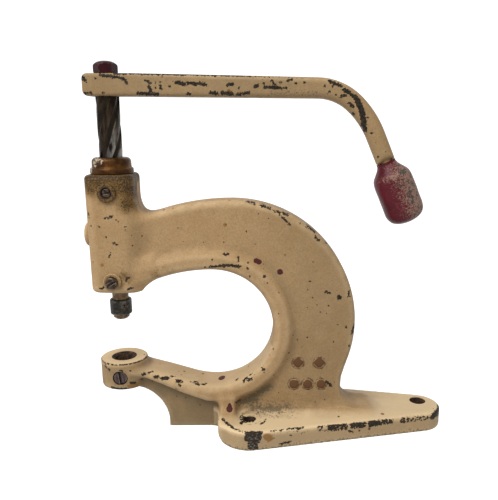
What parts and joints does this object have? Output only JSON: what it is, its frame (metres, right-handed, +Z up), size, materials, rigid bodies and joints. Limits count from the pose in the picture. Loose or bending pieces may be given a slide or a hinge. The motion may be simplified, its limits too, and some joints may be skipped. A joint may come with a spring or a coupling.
{
  "type": "bench screw press",
  "caption": "Cast-iron C-frame hand press with a multi-start screw, a cranked lever with a knob, a punch collar and a die cup on a three-eared base.",
  "frame": {"origin": "on the underside of the base, midway between the two front bolt holes", "axes": "+X from the spindle towards the tail of the base, +Y towards the back, +Z up along the spindle"},
  "size_m": [0.2327, 0.0782, 0.2357],
  "materials": {
    "painted_casting": "old cream enamel, chipped at the edges, oil-stained",
    "bronze": "oiled bronze gone brown",
    "dark_steel": "dark, oiled, scratched",
    "oiled_steel": "oiled and browned, bright where it runs",
    "bright_steel": "hardened and ground",
    "red_nut": "worn dark red lacquer",
    "red_knob": "dark red lacquer worn through to the cream undercoat"
  },
  "bodies": {
    "frame": {"frame_casting": "painted_casting", "spindle_nut": "bronze", "nut_lock_screw": "dark_steel", "nut_lock_ring": "painted_casting", "guide_bush": "bronze", "ram_guide_screw": "dark_steel", "guide_screw_ring": "painted_casting", "oil_plug": "dark_steel"},
    "ram": {"ram": "oiled_steel", "thrust_ball": "bright_steel", "thrust_pad": "bright_steel", "swivel_pins": "bright_steel", "punch_collar": "dark_steel"},
    "spindle": {"screw_spindle": "oiled_steel", "lever": "painted_casting", "lever_nut": "red_nut", "grip_knob": "red_knob", "knob_insert": "bronze"},
    "die_clamp": {"die_clamp_screw": "dark_steel"},
    "set_screw": {"collar_set_screw": "dark_steel"}
  },
  "joints": [
    {"name": "ram_slide", "type": "slide", "parent": "frame", "child": "ram", "axis": [0, 0, -1], "range_m": [-0.0042, 0.024]},
    {"name": "handle_turn", "type": "hinge", "parent": "ram", "child": "spindle", "pos_m": [-0.0845, 0, 0.2], "axis": [0, 0, -1], "range_deg": [-14.3, 82.2]},
    {"name": "die_clamp_move", "type": "slide", "parent": "frame", "child": "die_clamp", "axis": [0, -1, 0], "range_m": [-0.002, 0.004]},
    {"name": "set_screw_move", "type": "slide", "parent": "ram", "child": "set_screw", "axis": [0.5664, -0.8241, 0], "range_m": [-0.0015, 0.002]}
  ],
  "couplings": [
    {"joint": "ram_slide", "follows": "handle_turn", "m_per_rad": 0.016711}
  ]
}
